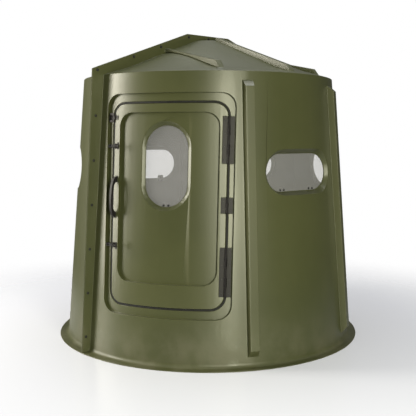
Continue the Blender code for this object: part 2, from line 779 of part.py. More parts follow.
def add_plate(name, xs, ys, half_height, frame, parent, seated_in):
    """A flat plate, and its seat in the wall or the door."""
    low, high = (xs[0], ys[0], -half_height), (xs[1], ys[1], half_height)
    plate = add_piece(name, block(low, high), "hardware", frame, parent)
    seat_for(seated_in, name, low, high, frame)
    return plate


def add_handle(door, axis):
    frame = fitting_frame(HANDLE_MIDDLE)
    top = HANDLE_HALF_LENGTH
    inner = top - HANDLE_FOOT
    foot = HANDLE_FOOT_THICKNESS
    outside = [(SEAT_DEPTH, -top), (-foot, -top)]
    inside = [(SEAT_DEPTH, inner)]
    for step in range(BOW_STEPS + 1):
        turn = pi * step / BOW_STEPS
        lift = sin(turn) ** HANDLE_BOW
        outside.append((-foot - (HANDLE_STAND - foot) * lift, (HANDLE_SHOULDER - top) * cos(turn)))
        inside.append(((HANDLE_GRIP - HANDLE_STAND) * lift, inner * cos(turn)))
    outside += [(-foot, top), (SEAT_DEPTH, top)]
    inside.append((SEAT_DEPTH, -inner))
    half = HANDLE_WIDTH / 2
    add_piece("door_handle", side_prism(outside + inside, -half, half), "hardware", frame, axis)
    for side, label in ((-1, "lower"), (1, "upper")):
        low, high = sorted((side * inner, side * top))
        seat_for(door, f"handle_{label}", (-half, 0, low), (half, SEAT_DEPTH, high), frame)


def door_way_out(frame):
    """The way the door first moves, in a fitting's frame, for each unit of Y."""
    outward = frame.to_3x3().inverted() @ Vector((0, -1, 0))
    return Vector((outward.x / outward.y, 1, outward.z / outward.y))


def flat_arm(start, end, half):
    """A flat arm from start to end, each (x, outer y, inner y)."""
    loops = []
    for x, near, far in (start, end):
        loops.append([(x, near, -half), (x, near, half), (x, far, half), (x, far, -half)])
    return loft(loops)


def add_latch(label, height, shell, door, axis):
    frame = fitting_frame(height)
    pivot = frame @ Matrix.Translation((0, LATCH_AXIS, 0))
    name = f"{label}_latch"
    add_latch_base(name, door, axis, frame)
    bore = rod((0, 0, -3 * EAR[1]), (0, 0, 3 * EAR[1]), LATCH_BORE)
    bore = add_tool(name + "_pivot_bore", bore, pivot)
    add_lever(name, axis, pivot, bore)
    add_strap(name, axis, pivot, bore)
    add_keeper(name, shell, frame)


def add_latch_base(name, door, axis, frame):
    xs, ys = (-LATCH_PLATE, LATCH_PLATE), (-PLATE_STAND, SEAT_DEPTH)
    base = add_plate(name + "_base", xs, ys, LATCH_PLATE, frame, axis, door)
    for side in (-1, 1):
        low, high = sorted((side * EAR[0], side * EAR[1]))
        ear = block((-EAR_HALF_WIDTH, LATCH_AXIS - EAR_TOP, low), (EAR_HALF_WIDTH, 0, high))
        join(base, add_tool(f"{name}_ear_{side + 1}", ear, frame))
    reach = EAR[1] - PLATE_STAND
    pin = rod((0, LATCH_AXIS, -reach), (0, LATCH_AXIS, reach), LATCH_PIN)
    join(base, add_tool(name + "_pin", pin, frame))


def add_lever(name, axis, pivot, bore):
    radius, half = LEVER_HUB
    hub = rod((0, 0, -half), (0, 0, half), radius)
    lever = add_piece(name + "_lever", hub, "hardware", pivot, axis)
    join(lever, add_tool(name + "_arm", flat_arm(*LEVER_ARM, LEVER_ARM_HALF), pivot))
    grip = rod((*LEVER_GRIP, -GRIP_HALF_LENGTH), (*LEVER_GRIP, GRIP_HALF_LENGTH), GRIP_RADIUS)
    join(lever, add_tool(name + "_grip", grip, pivot))
    cut(lever, bore)


def add_strap(name, axis, pivot, bore):
    thick, half = STRAP_HALF_THICKNESS, STRAP_HALF_WIDTH
    band = block((STRAP_REACH[0], -thick, -half), (STRAP_REACH[1], thick, half))
    strap = add_piece(name + "_strap", band, "seal", pivot, axis)
    radius, start = STRAP_EYE
    for side in (-1, 1):
        low, high = sorted((side * start, side * half))
        join(strap, add_tool(f"{name}_eye_{side + 1}", rod((0, 0, low), (0, 0, high), radius), pivot))
        link = block((STRAP_LINK[0], -thick * TAB_SHARE, low), (STRAP_LINK[1], thick * TAB_SHARE, high))
        join(strap, add_tool(f"{name}_link_{side + 1}", link, pivot))
    tall = SLOT_HALF_HEIGHT
    slot = block((STRAP_SLOT[0], -WALL, -tall), (STRAP_SLOT[1], WALL, tall))
    cut(strap, add_tool(name + "_slot", slot, pivot))
    cut(strap, bore)


def add_keeper(name, shell, frame):
    """A plate on the wall with a peg that the strap's slot slips over."""
    ys = (-PLATE_STAND, SEAT_DEPTH + PLATE_STAND)
    keeper = add_plate(name + "_keeper", KEEPER_REACH, ys, KEEPER_HALF, frame, None, shell)
    lead = door_way_out(frame)
    spot = Vector((KEEPER_SPOT, LATCH_AXIS, 0))
    start, tip = spot - lead * LATCH_AXIS, spot + lead * (KEEPER_TIP - LATCH_AXIS)
    join(keeper, add_tool(name + "_peg", rod(start, tip, KEEPER_PEG), frame))


def add_hasp(shell, door, axis):
    frame = fitting_frame(HASP_HEIGHT)
    pivot = frame @ Matrix.Translation((*HASP_AXIS, 0))
    add_hasp_leaf(door, axis, frame)
    outer, inner = HASP_PLATE_FACES
    half = HASP_PLATE_HALF
    plate = block((HASP_PLATE[0], outer, -half), (HASP_PLATE[1], inner, half))
    hasp = add_piece("hasp_plate", plate, "hardware", pivot, axis)
    half = HASP_KNUCKLE_HALF
    tab = block((2 * HASP_PLATE[1], outer + BURIED, -half), (-BURIED, inner - GAP, half))
    join(hasp, add_tool("hasp_tab", tab, pivot))
    join(hasp, add_tool("hasp_tube", rod((0, 0, -half), (0, 0, half), SMALL_KNUCKLE), pivot))
    cut(hasp, add_tool("hasp_bore", rod((0, 0, -WALL), (0, 0, WALL), SMALL_BORE), pivot))
    tall = HASP_SLOT_HALF
    slot = block((HASP_SLOT[0], -WALL, -tall), (HASP_SLOT[1], WALL, tall))
    cut(hasp, add_tool("hasp_slot", slot, pivot))
    add_staple(shell, frame)


def add_hasp_leaf(door, axis, frame):
    x, y = HASP_AXIS
    xs, ys = (x + SMALL_KNUCKLE + GAP + BURIED, HASP_LEAF_END), (-PLATE_STAND, SEAT_DEPTH)
    leaf = add_plate("hasp_leaf", xs, ys, HASP_LEAF_HALF, frame, axis, door)
    half = HASP_LEAF_HALF
    seat_for(door, "hasp_arms", (x - BURIED, y, -half), (xs[0], SEAT_DEPTH - GAP, half), frame)
    for side in (-1, 1):
        low, high = sorted((side * HASP_EYE, side * HASP_LEAF_HALF))
        arm = block((x, y, low), (xs[0] + BURIED, SEAT_DEPTH - BURIED / 2, high))
        join(leaf, add_tool(f"hasp_arm_{side + 1}", arm, frame))
        eye = rod((x, y, low), (x, y, high), SMALL_KNUCKLE)
        join(leaf, add_tool(f"hasp_eye_{side + 1}", eye, frame))
    reach = HASP_LEAF_HALF - BURIED / 2
    join(leaf, add_tool("hasp_pin", rod((x, y, -reach), (x, y, reach), SMALL_PIN), frame))


def add_staple(shell, frame):
    """A plate on the wall with a wire loop, which leans the way the door moves out."""
    ys = (-STAPLE_STAND, SEAT_DEPTH + PLATE_STAND)
    staple = add_plate("hasp_staple", STAPLE_REACH, ys, STAPLE_HALF, frame, None, shell)
    lead = door_way_out(frame)
    foot = Vector((STAPLE_FOOT, STAPLE_STAND, 0))
    tip = foot - lead * STAPLE_HEIGHT
    for side in (-1, 1):
        shift = Vector((0, 0, side * STAPLE_SPREAD))
        leg = rod(foot + shift, tip + shift, STAPLE_WIRE, 8)
        join(staple, add_tool(f"staple_leg_{side + 1}", leg, frame))
    half = Vector((0, 0, STAPLE_SPREAD + STAPLE_WIRE - BURIED / 5))
    middle = tip + lead * STAPLE_WIRE * TAB_SHARE
    bridge = rod(middle - half, middle + half, STAPLE_WIRE + GAP / 3, 8)
    join(staple, add_tool("staple_bridge", bridge, frame))


# Flange bolts ---------------------------------------------------------------
def add_bolts(centre):
    frame = half_frame(centre)
    face = FLANGE_THICKNESS + GAP
    for index, x in enumerate(ROOF_BOLTS):
        z = bolt_height(x)
        shank = rod((x, -face - BURIED, z), (x, face + BOLT_POINT, z), BOLT_RADIUS)
        bolt = add_piece(f"flange_bolt_{index + 1}", shank, "bolt", frame)
        radius, height = BOLT_HEAD
        head = rod((x, -face - height, z), (x, -face, z), radius)
        join(bolt, add_tool(f"bolt_head_{index}", head, frame))
        radius, height = BOLT_NUT
        nut = rod((x, face, z), (x, face + height, z), radius, 6)
        join(bolt, add_tool(f"bolt_nut_{index}", nut, frame))


# The whole blind ------------------------------------------------------------
def side_pockets(name, azimuths, centre):
    pockets = []
    for index, azimuth in enumerate(azimuths):
        label = f"{name}_{index + 1}"
        size = WINDOW_HALF_WIDTH, WINDOW_HALF_HEIGHT, WINDOW_DEPTH
        pockets.append(Pocket(label, azimuth, WINDOW_HEIGHT, size, 0.0, centre))
    return pockets


def main():
    for old in list(bpy.data.objects):
        bpy.data.objects.remove(old)
    front_centre = PARTING_AZIMUTH + HALF_TURN / 2
    rear_centre = front_centre + HALF_TURN
    front_pockets = side_pockets("front_window", FRONT_WINDOWS, front_centre)
    rear_pockets = side_pockets("rear_window", REAR_WINDOWS, rear_centre)
    size = DOOR_PANE_HALF_WIDTH, DOOR_PANE_HALF_HEIGHT, DOOR_PANE_DEPTH
    offset = -FRAME_DEPTH - PANEL_DEPTH
    door_pocket = Pocket("door_window", DOOR_PANE_AZIMUTH, DOOR_PANE_HEIGHT, size, offset, front_centre)
    door_axis = add_axis("door_axis", hinge_frame(MIDDLE_OF_DOOR))
    front = add_half("front_shell", front_centre, front_pockets)
    add_frame_to(front)
    cut_doorway_from(front)
    rear = add_half("rear_shell", rear_centre, rear_pockets)
    add_seal()
    door = add_door(door_axis, door_pocket)
    add_door_hinges(front, door, door_axis)
    add_handle(door, door_axis)
    for label, height in LATCH_HEIGHTS:
        add_latch(label, height, front, door, door_axis)
    add_hasp(front, door, door_axis)
    finish_half(front, front_centre)
    finish_half(rear, rear_centre)
    add_bolts(front_centre)
    pair = (("_left", -PANE_HINGE_SPREAD), ("_right", PANE_HINGE_SPREAD))
    for pocket in front_pockets + rear_pockets:
        add_pane(pocket, None, pair)
    add_pane(door_pocket, door_axis, (("", 0.0),))


main()
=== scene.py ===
import json
from math import acos, atan2, cos, degrees, radians, sin

import bmesh
import bpy
from mathutils import Matrix, Vector


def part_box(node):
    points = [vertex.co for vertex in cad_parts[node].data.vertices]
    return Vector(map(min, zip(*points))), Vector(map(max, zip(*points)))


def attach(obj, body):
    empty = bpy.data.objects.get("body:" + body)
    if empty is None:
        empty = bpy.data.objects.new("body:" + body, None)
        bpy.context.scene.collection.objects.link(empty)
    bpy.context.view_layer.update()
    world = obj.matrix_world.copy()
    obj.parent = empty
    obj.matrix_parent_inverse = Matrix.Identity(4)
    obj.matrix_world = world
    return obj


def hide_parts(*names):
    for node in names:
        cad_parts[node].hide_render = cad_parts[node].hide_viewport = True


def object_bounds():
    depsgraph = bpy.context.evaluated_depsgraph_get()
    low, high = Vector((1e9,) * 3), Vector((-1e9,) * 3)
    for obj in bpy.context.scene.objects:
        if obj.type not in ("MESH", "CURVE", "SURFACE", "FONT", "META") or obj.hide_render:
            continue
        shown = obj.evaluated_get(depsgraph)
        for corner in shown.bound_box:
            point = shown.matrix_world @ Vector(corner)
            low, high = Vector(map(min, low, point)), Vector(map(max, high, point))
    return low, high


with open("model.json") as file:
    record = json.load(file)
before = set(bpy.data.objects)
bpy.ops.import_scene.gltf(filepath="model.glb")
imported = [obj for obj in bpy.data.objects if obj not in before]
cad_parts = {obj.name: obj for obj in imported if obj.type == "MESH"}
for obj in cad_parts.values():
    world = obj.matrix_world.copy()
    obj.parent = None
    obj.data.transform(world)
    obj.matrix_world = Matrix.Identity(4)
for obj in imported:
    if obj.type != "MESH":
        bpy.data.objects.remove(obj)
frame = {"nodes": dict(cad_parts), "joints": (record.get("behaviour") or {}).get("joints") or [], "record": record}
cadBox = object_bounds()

scene = bpy.context.scene
joints = {joint["name"]: joint for joint in frame["joints"]}
bodies = frame["record"]["behaviour"]["bodies"]
ringRadius = (cadBox[1][0] - cadBox[0][0]) / 2
sides = ("front_window_1", "front_window_2", "rear_window_1", "rear_window_2", "rear_window_3")
windows = sides + ("door_window",)
print("frame loaded:", len(frame["nodes"]), "nodes")


# Places on the blind

def jointLine(name):
    return Vector(joints[name]["pos_m"]), Vector(joints[name]["axis"])


lean = acos(jointLine("upper_strap_turn")[1].z)  # of the wall, inwards


def frameAt(place, up):
    # X runs along the wall, Y inwards and Z up
    along = (-Vector((place.x, place.y, 0))).cross(up).normalized()
    inward = up.cross(along)
    return Matrix.Translation(place) @ Matrix((along, inward, up)).transposed().to_4x4()


def paneFrame(window):
    place, axis = jointLine(window + "_tilt")
    inward = Vector((axis.y, -axis.x, 0))
    up = inward * sin(lean) + Vector((0, 0, cos(lean)))
    along = -axis
    return Matrix.Translation(place) @ Matrix((along, up.cross(along), up)).transposed().to_4x4()


def boxMiddle(node):
    low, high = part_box(node)
    return (low + high) / 2


# Small helpers for modelling

def clearSelection():
    if bpy.context.object and bpy.context.object.mode != "OBJECT":
        bpy.ops.object.mode_set(mode="OBJECT")
    bpy.ops.object.select_all(action="DESELECT")


def keepOnly(*pieces):
    clearSelection()
    for piece in pieces:
        piece.select_set(True)
    bpy.context.view_layer.objects.active = pieces[0]


def editOn(piece):
    keepOnly(piece)
    bpy.ops.object.mode_set(mode="EDIT")
    bpy.ops.mesh.select_all(action="SELECT")


def editOff():
    bpy.ops.object.mode_set(mode="OBJECT")


def pickFaces(piece, test):
    # selects the faces that pass the test, in edit mode
    mesh = bmesh.from_edit_mesh(piece.data)
    bpy.ops.mesh.select_all(action="DESELECT")
    bpy.context.tool_settings.mesh_select_mode = (False, False, True)
    for face in mesh.faces:
        face.select = test(face)
    bmesh.update_edit_mesh(piece.data)


def applyModifier(piece, kind, **settings):
    keepOnly(piece)
    modifier = piece.modifiers.new(kind.lower(), kind)
    for setting, value in settings.items():
        setattr(modifier, setting, value)
    bpy.ops.object.modifier_apply(modifier=modifier.name)


def roundEdges(piece, width, rounds=2, angle=32):
    applyModifier(
        piece, "BEVEL", width=width, segments=rounds, limit_method="ANGLE",
        angle_limit=radians(angle), use_clamp_overlap=False, miter_outer="MITER_ARC",
    )


def smoothShade(piece, angle=32):
    keepOnly(piece)
    bpy.ops.object.shade_smooth_by_angle(angle=radians(angle))


def copiesOf(pattern, name, places):
    # one mesh that holds a copy of the pattern at each place
    made = []
    for place in places:
        copy = pattern.copy()
        copy.data = pattern.data.copy()
        scene.collection.objects.link(copy)
        copy.matrix_world = place
        made.append(copy)
    keepOnly(*made)
    bpy.ops.object.join()
    joined = bpy.context.active_object
    bpy.ops.object.transform_apply(location=True, rotation=True, scale=True)
    joined.name = name
    return joined


def finishPiece(piece, name, body, look, slot, *nodes):
    piece.name = name
    piece.data.materials.clear()
    piece.data.materials.append(look)
    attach(piece, body)
    if nodes:
        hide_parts(*nodes)
    return piece


def bodyOf(node):
    return next(body for body, nodes in bodies.items() if node in nodes)


def looseCopy(node, merge):
    source = frame["nodes"][node]
    piece = source.copy()
    piece.data = source.data.copy()
    piece.parent = None
    for key in list(piece.keys()):
        del piece[key]
    scene.collection.objects.link(piece)
    editOn(piece)
    bpy.ops.mesh.remove_doubles(threshold=merge)
    bpy.ops.mesh.dissolve_degenerate(threshold=merge)
    bpy.ops.mesh.dissolve_limited(angle_limit=radians(1.0))
    editOff()
    return piece


# Shader maths

class Wire:
    # a node's output: sums of wires add Math nodes
    def __init__(self, tree, socket):
        self.tree = tree
        self.socket = socket

    def sum(self, operation, *values):
        return addNode(self.tree, "ShaderNodeMath", {"operation": operation}, dict(enumerate(values)))

    def __add__(self, other):
        return self.sum("ADD", self, other)

    def __sub__(self, other):
        return self.sum("SUBTRACT", self, other)

    def __rsub__(self, other):
        return self.sum("SUBTRACT", other, self)

    def __mul__(self, other):
        return self.sum("MULTIPLY", self, other)

    def __truediv__(self, other):
        return self.sum("DIVIDE", self, other)

    def __rtruediv__(self, other):
        return self.sum("DIVIDE", other, self)

    __radd__ = __add__
    __rmul__ = __mul__

    def ramp(self, low, high):
        # 0 at low, 1 at high, smooth between
        settings = {"interpolation_type": "SMOOTHSTEP"}
        values = {"Value": self, "From Min": low, "From Max": high}
        return addNode(self.tree, "ShaderNodeMapRange", settings, values)


def addNode(tree, kind, settings=None, values=None, output=0):
    made = tree.nodes.new(kind)
    for setting, value in (settings or {}).items():
        setattr(made, setting, value)
    for key, value in (values or {}).items():
        if isinstance(value, Wire):
            tree.links.new(value.socket, made.inputs[key])
        else:
            made.inputs[key].default_value = value
    return Wire(tree, made.outputs[output])


class Look:
    # one material: its coordinates, its patterns and its shader
    def __init__(self, name, **fixed):
        self.material = bpy.data.materials.new(name)
        self.material.use_nodes = True
        self.tree = self.material.node_tree
        self.shader = self.tree.nodes["Principled BSDF"]
        for socket, value in fixed.items():
            self.shader.inputs[socket.replace("_", " ")].default_value = value
        self.place = self.add("ShaderNodeTexCoord", output="Object")

    def add(self, kind, settings=None, values=None, output=0):
        return addNode(self.tree, kind, settings, values, output)

    def stretched(self, x, y, z):
        return self.add("ShaderNodeMapping", None, {"Vector": self.place, "Scale": (x, y, z)})

    def noise(self, scale, detail=2.0, roughness=0.5, vector=None):
        values = {"Vector": vector or self.place, "Scale": scale, "Detail": detail, "Roughness": roughness}
        return self.add("ShaderNodeTexNoise", None, values)

    def mix(self, factor, first, second):
        return self.add("ShaderNodeMix", {"data_type": "RGBA"}, {0: factor, 6: first, 7: second}, 2)

    def feed(self, socket, wire):
        self.tree.links.new(wire.socket, self.shader.inputs[socket])

    def bump(self, height, distance, strength=1.0, under=None):
        values = {"Height": height, "Distance": distance, "Strength": strength}
        if under:
            values["Normal"] = under
        return self.add("ShaderNodeBump", None, values)


mouldedSheet = {
    "olive": (0.068, 0.074, 0.027, 1),
    "shade": (0.054, 0.060, 0.020, 1),
    # a lighter colour, used for real scuffs and also as a painted highlight along sharp edges
    "rubbedAndEdgeHighlight": (0.115, 0.115, 0.055, 1),
    "dust": (0.170, 0.155, 0.105, 1),
    "dustLow": 0.02,
    "dustHigh": 0.34,
    "roughness": 0.37,
}


def mouldedLook(name, seed):
    s = mouldedSheet
    look = Look(name, Metallic=0.0, Specular_IOR_Level=0.6)
    moved = look.add("ShaderNodeMapping", None, {"Vector": look.place, "Location": (seed, seed * 0.7, 0)})
    clouds = look.noise(1.7, 4.0, 0.55, moved)
    drawn = look.noise(9.0, 3.0, 0.6, look.stretched(1, 1, 0.12))  # the sheet stretched down the mould
    grain = look.noise(420.0, 2.0, 0.6)
    peel = look.noise(95.0, 2.0, 0.5)
    height = look.add("ShaderNodeSeparateXYZ", None, {"Vector": look.place}, "Z")
    low = 1 - height.ramp(s["dustLow"], s["dustHigh"])
    dust = low * look.noise(6.0, 5.0, 0.65).ramp(0.35, 0.75)
    scuffs = look.noise(26.0, 4.0, 0.7, look.stretched(1.0, 1.0, 4.0)).ramp(0.66, 0.80)
    corner = look.add("ShaderNodeNewGeometry", output="Pointiness").ramp(0.515, 0.60)
    colour = look.mix(clouds.ramp(0.30, 0.72), s["olive"], s["shade"])
    # painted highlight: the colour is lightened along sharp edges, found by pointiness, where light would catch
    # them
    colour = look.mix(corner * 0.45, colour, s["rubbedAndEdgeHighlight"])
    colour = look.mix(scuffs * 0.10, colour, s["rubbedAndEdgeHighlight"])
    colour = look.mix(dust * 0.30, colour, s["dust"])
    look.feed("Base Color", colour)
    rough = s["roughness"] + (clouds - 0.5) * 0.10 + (drawn - 0.5) * 0.08 + scuffs * 0.10 + dust * 0.22
    look.feed("Roughness", rough)
    soft = look.bump(peel, 0.0006, 0.35)
    look.feed("Normal", look.bump(grain, 0.0001, 0.2, soft))
    return look.material


def metalLook():
    look = Look("blackPowderCoat", Metallic=0.0, Specular_IOR_Level=0.22)
    grain = look.noise(900.0, 2.0, 0.6)
    worn = look.noise(60.0, 4.0, 0.65).ramp(0.58, 0.78)
    corner = look.add("ShaderNodeNewGeometry", output="Pointiness").ramp(0.53, 0.66)
    colour = look.mix(worn * 0.5, (0.012, 0.0105, 0.0115, 1), (0.024, 0.021, 0.023, 1))
    colour = look.mix(corner * worn, colour, (0.09, 0.085, 0.085, 1))
    look.feed("Base Color", colour)
    look.feed("Roughness", 0.46 + worn * 0.16)
    look.feed("Normal", look.bump(grain, 0.0001, 0.5))
    return look.material


def rubberLook():
    look = Look("blackRubber", Metallic=0.0, Specular_IOR_Level=0.35)
    bloom = look.noise(40.0, 5.0, 0.7)
    fine = look.noise(1200.0, 2.0, 0.6)
    colour = look.mix(bloom.ramp(0.4, 0.8), (0.008, 0.008, 0.008, 1), (0.026, 0.026, 0.027, 1))
    look.feed("Base Color", colour)
    look.feed("Roughness", 0.62 + bloom * 0.2)
    look.feed("Normal", look.bump(fine, 0.00008, 0.6))
    return look.material


def boltLook():
    look = Look("blackZinc", Metallic=0.2)
    worn = look.noise(300.0, 3.0, 0.6)
    colour = look.mix(worn.ramp(0.4, 0.7), (0.012, 0.012, 0.013, 1), (0.035, 0.034, 0.033, 1))
    look.feed("Base Color", colour)
    look.feed("Roughness", 0.34 + worn * 0.2)
    return look.material


smokedPane = {"tint": (0.60, 0.60, 0.64, 1), "haze": (0.75, 0.75, 0.78, 1), "alpha": 0.17}


def paneLook():
    s = smokedPane
    look = Look("smokedPolycarbonate", Metallic=0.0, Specular_IOR_Level=0.5)
    smear = look.noise(7.0, 4.0, 0.6, look.stretched(1, 1, 2.5))
    dust = look.noise(160.0, 3.0, 0.7).ramp(0.60, 0.80)
    colour = look.mix(dust * 0.25 + smear * 0.2, s["tint"], s["haze"])
    look.feed("Base Color", colour)
    look.feed("Alpha", s["alpha"] + dust * 0.06 + smear * 0.05)
    look.feed("Roughness", 0.05 + smear * 0.10 + dust * 0.12)
    return look.material


shellLook = mouldedLook("oliveShell", 0.0)
rearLook = mouldedLook("oliveRearShell", 3.1)
doorLook = mouldedLook("oliveDoor", 7.3)
hardwareLook = metalLook()
strapLook = rubberLook()
zincLook = boltLook()
clearLook = paneLook()
looks = {"seal": strapLook, "hardware": hardwareLook, "pane": clearLook, "bolt": zincLook}
print("materials made")


# The moulded skins: softened copies, turned truly round

skin = {
    "merge": 0.0004,
    "edge": 0.0023,
    "seatEdge": 0.0011,  # round the narrow lips of the window openings
    "seatFaces": (-0.0125, 0.06),  # how far a pane's seat reaches out and in from its hinge line
    "seatMargin": 0.03,  # round the pane
    "sharp": 34,  # degrees between faces that meet at an edge
    "rounds": 2,
    "facet": 6.0,  # the flat facets of the plain wall, in degrees
    "strip": 2.0,
    "rim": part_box("door_panel")[1].z + 0.17,  # the roof above this keeps its flats
}


def partingAzimuth():
    bolt = boxMiddle("flange_bolt_7")
    return degrees(atan2(bolt.x, -bolt.y))


def paneSeats():
    # each pane's frame, turned back, and how far its pane reaches to the sides and up
    seats = []
    for window in windows:
        back = paneFrame(window).inverted()
        pane = frame["nodes"][window + "_pane"]
        spots = [back @ pane.matrix_world @ vertex.co for vertex in pane.data.vertices]
        seats.append((back, max(spot.x for spot in spots), max(spot.z for spot in spots)))
    return seats


def onPaneSeat(point, seats):
    low, high = skin["seatFaces"]
    edge = skin["seatMargin"]
    for back, wide, tall in seats:
        near = back @ point
        if abs(near.x) < wide + edge and -edge < near.z < tall + edge and low < near.y < high:
            return True
    return False


def weighEdges(piece, seats):
    # wide rounds everywhere but on the thin lips round the openings
    mesh = bmesh.new()
    mesh.from_mesh(piece.data)
    weight = mesh.edges.layers.float.new("bevel_weight_edge")
    for edge in mesh.edges:
        if edge.calc_face_angle(0) > radians(skin["sharp"]):
            narrow = any(onPaneSeat(vertex.co, seats) for vertex in edge.verts)
            edge[weight] = skin["seatEdge"] / skin["edge"] if narrow else 1
    mesh.to_mesh(piece.data)
    mesh.free()


def turnRound(piece, seats):
    # splits the facets into strips and brings each point out to the round wall
    start = partingAzimuth()
    editOn(piece)
    for step in range(round(180 / skin["strip"])):
        turn = radians(start + step * skin["strip"])
        if abs(step * skin["strip"] % skin["facet"]) < 0.01:
            continue
        pickFaces(piece, lambda face: face.calc_center_median().z < skin["rim"])
        bpy.ops.mesh.bisect(plane_co=(0, 0, 0), plane_no=(cos(turn), sin(turn), 0), threshold=1e-6)
    editOff()
    half = skin["facet"] / 2
    for vertex in piece.data.vertices:
        point = vertex.co
        if onPaneSeat(point, seats):
            continue
        azimuth = degrees(atan2(point.x, -point.y)) - start
        off = azimuth % skin["facet"] - half
        swell = cos(radians(off)) / cos(radians(half))
        point.x *= swell
        point.y *= swell


def softSkin(node, name, look, slot):
    piece = looseCopy(node, skin["merge"])
    seats = paneSeats()
    weighEdges(piece, seats)
    applyModifier(
        piece, "BEVEL", width=skin["edge"], segments=skin["rounds"], limit_method="WEIGHT",
        use_clamp_overlap=False, miter_outer="MITER_ARC",
    )
    turnRound(piece, seats)
    smoothShade(piece, skin["sharp"])
    applyModifier(piece, "WEIGHTED_NORMAL", weight=50, keep_sharp=True)
    finishPiece(piece, name, bodyOf(node), look, slot, node)
    print(name, len(piece.data.vertices), "points")
    return piece


frontShell = softSkin("front_shell", "frontShell", shellLook, "shell")
rearShell = softSkin("rear_shell", "rearShell", rearLook, "shell")
doorSkin = softSkin("door_panel", "doorSkin", doorLook, "door")


# Hardware, seal and panes: softened copies of their plain solids

softness = {"seal": 0.0012, "hardware": 0.0007, "pane": 0.0012}
special = {"door_handle": 0.0016}
madeElsewhere = {"front_shell", "rear_shell", "door_panel"}


def softHardware():
    for entry in frame["record"]["subparts"]:
        node, slot = entry["node"], entry["material_slot"]
        if node in madeElsewhere or slot == "bolt":
            continue
        piece = looseCopy(node, 0.00005)
        edge = special.get(node, softness[slot])
        roundEdges(piece, edge, 3 if node in special else 2)
        smoothShade(piece)
        applyModifier(piece, "WEIGHTED_NORMAL", weight=50, keep_sharp=True)
        finishPiece(piece, node + "_soft", bodyOf(node), looks[slot], slot, node)


softHardware()
print("hardware softened")


# Screws and bolts

screw = {"radius": 0.0042, "height": 0.0020, "sides": 14, "socket": 0.0016}
bolt = {
    "radius": 0.0068, "height": 0.0050, "washer": 0.0090, "washerHeight": 0.0014, "shank": 0.0038,
    "end": 0.004,  # of the shank past its nut
}


def domedHead(radius, height, sides, socket):
    # a pan head that stands on z = 0, with a sunk socket
    clearSelection()
    bpy.ops.mesh.primitive_cylinder_add(
        vertices=sides, radius=radius, depth=height, location=(0, 0, height / 2),
    )
    head = bpy.context.active_object
    bpy.ops.object.transform_apply(location=True, rotation=True, scale=True)
    editOn(head)
    pickFaces(head, lambda face: face.normal.z > 0.9)
    bpy.ops.mesh.inset(thickness=radius * 0.28)
    bpy.ops.transform.translate(value=(0, 0, height * 0.3))
    bpy.ops.mesh.inset(thickness=radius * 0.72 - socket)
    bpy.ops.mesh.extrude_region_move(TRANSFORM_OT_translate={"value": (0, 0, -height * 0.6)})
    editOff()
    roundEdges(head, radius * 0.06, 1, 40)
    smoothShade(head)
    return head


def hexPair(grip):
    # bolt head and washer on one side, washer, nut and shank end on the other, along Z
    parts = []
    b = bolt
    for side in (-1, 1):
        face = side * grip
        clearSelection()
        bpy.ops.mesh.primitive_cylinder_add(
            vertices=24, radius=b["washer"], depth=b["washerHeight"],
            location=(0, 0, face + side * b["washerHeight"] / 2),
        )
        parts.append(bpy.context.active_object)
        bpy.ops.mesh.primitive_cylinder_add(
            vertices=6, radius=b["radius"], depth=b["height"],
            location=(0, 0, face + side * (b["washerHeight"] + b["height"] / 2)),
        )
        parts.append(bpy.context.active_object)
    reach = grip + b["washerHeight"] + b["height"] + b["end"]
    bpy.ops.mesh.primitive_cylinder_add(
        vertices=12, radius=b["shank"], depth=reach, location=(0, 0, -reach / 2),
    )
    parts.append(bpy.context.active_object)
    keepOnly(*parts)
    bpy.ops.object.join()
    pair = bpy.context.active_object
    bpy.ops.object.transform_apply(location=True, rotation=True, scale=True)
    roundEdges(pair, 0.0006, 2, 40)
    smoothShade(pair)
    return pair


def facing(place, x, y, z):
    # a head that stands outwards (-Y) at a place in a wall frame
    return place @ Matrix.Translation((x, y, z)) @ Matrix.Rotation(radians(90), 4, "X")


flange = {"stand": 0.021, "half": 0.005, "lowest": 0.101, "pitch": 0.268, "rows": 6, "extra": 0.61}


def flangeBolts():
    pattern = hexPair(flange["half"])
    right = boxMiddle("flange_bolt_7")
    along = Vector((right.x, right.y, 0)).normalized()
    across = Vector((-along.y, along.x, 0))
    turn = Matrix((along, Vector((0, 0, 1)), -across)).transposed().to_4x4()
    roof = [boxMiddle(f"flange_bolt_{index}") for index in range(1, 8)]
    for near, far in ((roof[0], roof[1]), (roof[6], roof[5])):
        share = (abs(near.dot(along)) - flange["extra"]) / abs((near - far).dot(along))
        roof.append(near.lerp(far, share))
    roof = [along * spot.dot(along) + Vector((0, 0, spot.z)) for spot in roof]
    places = [Matrix.Translation(spot) @ turn for spot in roof]
    ridge = copiesOf(pattern, "ridgeBolts", places)
    nodes = [f"flange_bolt_{index}" for index in range(1, 8)]
    finishPiece(ridge, "ridgeBolts", "shell", zincLook, "bolt", *nodes)
    corner = max(abs(spot.dot(along)) for spot in roof)
    top = max(spot.z for spot in roof if abs(abs(spot.dot(along)) - corner) < 0.01)
    slope = (ringRadius - flange["stand"] - corner) / top
    for side, name in ((-1, "leftFlangeBolts"), (1, "rightFlangeBolts")):
        places = []
        for row in range(flange["rows"]):
            height = flange["lowest"] + row * flange["pitch"]
            reach = corner + slope * (top - height) - 0.002
            places.append(Matrix.Translation(along * side * reach + Vector((0, 0, height))) @ turn)
        row = copiesOf(pattern, name, places)
        finishPiece(row, name, "shell", zincLook, "bolt")
    bpy.data.objects.remove(pattern)


flangeBolts()

hingeScrews = {"inset": 0.0215, "face": 0.0045, "long": 4, "short": 2, "end": 0.022}


